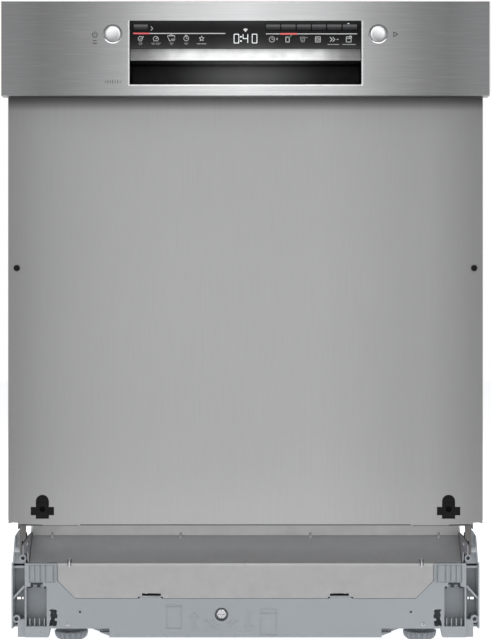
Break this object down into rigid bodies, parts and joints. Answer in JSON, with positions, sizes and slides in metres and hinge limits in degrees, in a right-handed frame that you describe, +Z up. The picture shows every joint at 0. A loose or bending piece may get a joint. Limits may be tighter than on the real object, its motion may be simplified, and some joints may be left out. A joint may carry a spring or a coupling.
{
  "type": "built-in dishwasher",
  "caption": "Semi-integrated under-counter dishwasher with steel fascia, recessed display and grip, drop-down door, pull-out baskets and adjustable feet.",
  "frame": {"origin": "centre of the bounding box's footprint, on the floor under the feet", "axes": "+X to the right seen from the front, +Y from the door to the rear, +Z up"},
  "size_m": [0.598, 0.573, 0.815],
  "materials": {
    "base_plastic": "moulded, fine texture",
    "screw_steel": "zinc plated",
    "galvanised_sheet": "satin grey sheet",
    "casing_paint": "satin grey paint",
    "door_sheet": "satin grey, fine grain",
    "stainless": "satin stainless",
    "fascia_steel": "brushed along the width",
    "seal_rubber": "soft black",
    "fleece": "felted mat",
    "inner_plastic": "moulded grey",
    "light_plastic": "moulded off-white",
    "black_plastic": "fine texture",
    "window_gloss": "high gloss",
    "key_metal": "metallised",
    "trim_chrome": "satin chrome",
    "button_metal": "fine satin",
    "board": "solder mask",
    "basket_coat": "nylon coated wire",
    "spring_steel": "drawn wire",
    "hinge_steel": "pressed, lightly oiled"
  },
  "bodies": {
    "cabinet": {"base_tray": "base_plastic", "base_screws": "screw_steel", "toe_sheet": "galvanised_sheet", "side_panel_right": "casing_paint", "side_panel_left": "casing_paint", "rear_frame": "galvanised_sheet", "worktop_rail": "galvanised_sheet", "tub": "stainless", "tub_seal": "seal_rubber", "tub_insulation": "fleece", "sump": "inner_plastic", "filter_plate": "stainless", "water_softener": "light_plastic", "circulation_pump": "black_plastic", "drain_pump": "light_plastic", "heat_exchanger": "light_plastic", "inlet_valve": "light_plastic", "power_module": "black_plastic", "feed_pipe": "inner_plastic", "basket_rails": "stainless", "latch_striker": "stainless", "hinge_brackets": "hinge_steel", "door_springs": "spring_steel"},
    "door": {"door_outer_sheet": "door_sheet", "door_plugs": "black_plastic", "door_inner_sheet": "stainless", "hinge_arms": "hinge_steel", "control_fascia": "fascia_steel", "panel_carrier": "black_plastic", "display_window": "window_gloss", "handle_trim": "trim_chrome", "control_board": "board", "door_lock": "black_plastic", "dispenser_body": "inner_plastic"},
    "front_foot_left": {"front_foot_left": "inner_plastic"},
    "front_foot_right": {"front_foot_right": "inner_plastic"},
    "rear_foot": {"rear_foot": "inner_plastic"},
    "rear_foot_shaft": {"rear_foot_shaft": "screw_steel"},
    "filter_cylinder": {"filter_cylinder": "inner_plastic"},
    "salt_cap": {"salt_cap": "light_plastic"},
    "lower_spray_arm": {"lower_spray_arm": "inner_plastic"},
    "upper_spray_arm": {"upper_spray_arm": "inner_plastic"},
    "lower_basket": {"lower_basket": "basket_coat"},
    "folding_tines": {"folding_tines": "basket_coat"},
    "lower_wheels_front": {"lower_wheels_front": "inner_plastic"},
    "lower_wheels_rear": {"lower_wheels_rear": "inner_plastic"},
    "upper_slides": {"upper_slides": "stainless"},
    "upper_basket": {"upper_basket": "basket_coat"},
    "cutlery_drawer": {"cutlery_drawer": "basket_coat"},
    "left_key": {"left_key": "key_metal"},
    "power_button": {"power_button": "button_metal"},
    "start_button": {"start_button": "button_metal"},
    "detergent_lid": {"detergent_lid": "inner_plastic"},
    "rinse_cap": {"rinse_cap": "inner_plastic"},
    "right_key_1": {"right_key_1": "key_metal"},
    "right_key_2": {"right_key_2": "key_metal"},
    "right_key_3": {"right_key_3": "key_metal"},
    "right_key_4": {"right_key_4": "key_metal"},
    "right_key_5": {"right_key_5": "key_metal"},
    "right_key_6": {"right_key_6": "key_metal"}
  },
  "joints": [
    {"name": "door_hinge", "type": "hinge", "parent": "cabinet", "child": "door", "pos_m": [0, -0.24, 0.138], "axis": [1, 0, 0], "range_deg": [0, 90], "stiffness_Nm_per_rad": 13},
    {"name": "lower_basket_slide", "type": "slide", "parent": "cabinet", "child": "lower_basket", "axis": [0, -1, 0], "range_m": [0, 0.2]},
    {"name": "upper_runner_slide", "type": "slide", "parent": "cabinet", "child": "upper_slides", "axis": [0, -1, 0], "range_m": [0, 0.215]},
    {"name": "upper_basket_slide", "type": "slide", "parent": "upper_slides", "child": "upper_basket", "axis": [0, -1, 0], "range_m": [0, 0.215]},
    {"name": "cutlery_drawer_slide", "type": "slide", "parent": "cabinet", "child": "cutlery_drawer", "axis": [0, -1, 0], "range_m": [0, 0.36]},
    {"name": "front_wheel_roll", "type": "hinge", "parent": "lower_basket", "child": "lower_wheels_front", "pos_m": [0, -0.058, 0.184], "axis": [1, 0, 0], "range_deg": [0, 820]},
    {"name": "rear_wheel_roll", "type": "hinge", "parent": "lower_basket", "child": "lower_wheels_rear", "pos_m": [0, 0.176, 0.184], "axis": [1, 0, 0], "range_deg": [0, 820]},
    {"name": "tine_fold", "type": "hinge", "parent": "lower_basket", "child": "folding_tines", "pos_m": [-0.12, -0.02, 0.211], "axis": [-1, 0, 0], "range_deg": [0, 85]},
    {"name": "lower_arm_spin", "type": "hinge", "parent": "cabinet", "child": "lower_spray_arm", "pos_m": [0, 0.028, 0.182], "axis": [0, 0, 1], "continuous": true},
    {"name": "upper_arm_spin", "type": "hinge", "parent": "upper_basket", "child": "upper_spray_arm", "pos_m": [0, 0.028, 0.476], "axis": [0, 0, 1], "continuous": true},
    {"name": "filter_turn", "type": "hinge", "parent": "cabinet", "child": "filter_cylinder", "pos_m": [0.078, 0.052, 0.13], "axis": [0, 0, 1], "range_deg": [0, 90]},
    {"name": "salt_cap_turn", "type": "hinge", "parent": "cabinet", "child": "salt_cap", "pos_m": [-0.175, 0.135, 0.15], "axis": [0, 0, 1], "range_deg": [0, 270]},
    {"name": "front_foot_left_screw", "type": "slide", "parent": "cabinet", "child": "front_foot_left", "axis": [0, 0, -1], "range_m": [0, 0.06]},
    {"name": "front_foot_right_screw", "type": "slide", "parent": "cabinet", "child": "front_foot_right", "axis": [0, 0, -1], "range_m": [0, 0.06]},
    {"name": "rear_adjuster_turn", "type": "hinge", "parent": "cabinet", "child": "rear_foot_shaft", "pos_m": [-0.0306, 0, 0.0488], "axis": [0, 1, 0], "range_deg": [0, 7200]},
    {"name": "rear_foot_slide", "type": "slide", "parent": "cabinet", "child": "rear_foot", "axis": [0, 0, -1], "range_m": [0, 0.06]},
    {"name": "detergent_lid_slide", "type": "slide", "parent": "door", "child": "detergent_lid", "axis": [0, 0, -1], "range_m": [0, 0.06]},
    {"name": "rinse_cap_hinge", "type": "hinge", "parent": "door", "child": "rinse_cap", "pos_m": [0.042, -0.1978, 0.4596], "axis": [1, 0, 0], "range_deg": [0, 85]},
    {"name": "power_button_press", "type": "slide", "parent": "door", "child": "power_button", "axis": [0, 1, 0], "range_m": [0, 0.0015], "stiffness_N_per_m": 600},
    {"name": "start_button_press", "type": "slide", "parent": "door", "child": "start_button", "axis": [0, 1, 0], "range_m": [0, 0.0015], "stiffness_N_per_m": 600},
    {"name": "left_key_press", "type": "slide", "parent": "door", "child": "left_key", "axis": [0, 1, 0], "range_m": [0, 0.001], "stiffness_N_per_m": 500},
    {"name": "right_key_1_press", "type": "slide", "parent": "door", "child": "right_key_1", "axis": [0, 1, 0], "range_m": [0, 0.001], "stiffness_N_per_m": 500},
    {"name": "right_key_2_press", "type": "slide", "parent": "door", "child": "right_key_2", "axis": [0, 1, 0], "range_m": [0, 0.001], "stiffness_N_per_m": 500},
    {"name": "right_key_3_press", "type": "slide", "parent": "door", "child": "right_key_3", "axis": [0, 1, 0], "range_m": [0, 0.001], "stiffness_N_per_m": 500},
    {"name": "right_key_4_press", "type": "slide", "parent": "door", "child": "right_key_4", "axis": [0, 1, 0], "range_m": [0, 0.001], "stiffness_N_per_m": 500},
    {"name": "right_key_5_press", "type": "slide", "parent": "door", "child": "right_key_5", "axis": [0, 1, 0], "range_m": [0, 0.001], "stiffness_N_per_m": 500},
    {"name": "right_key_6_press", "type": "slide", "parent": "door", "child": "right_key_6", "axis": [0, 1, 0], "range_m": [0, 0.001], "stiffness_N_per_m": 500}
  ],
  "couplings": [
    {"joint": "lower_basket_slide", "follows": "door_hinge", "m_per_rad": 0.1273},
    {"joint": "upper_runner_slide", "follows": "door_hinge", "m_per_rad": 0.1368},
    {"joint": "upper_basket_slide", "follows": "door_hinge", "m_per_rad": 0.1368},
    {"joint": "cutlery_drawer_slide", "follows": "door_hinge", "m_per_rad": 0.2291},
    {"joint": "front_wheel_roll", "follows": "door_hinge", "ratio": 9.095},
    {"joint": "rear_wheel_roll", "follows": "door_hinge", "ratio": 9.095},
    {"joint": "rear_adjuster_turn", "follows": "rear_foot_slide", "rad_per_m": 2094}
  ]
}
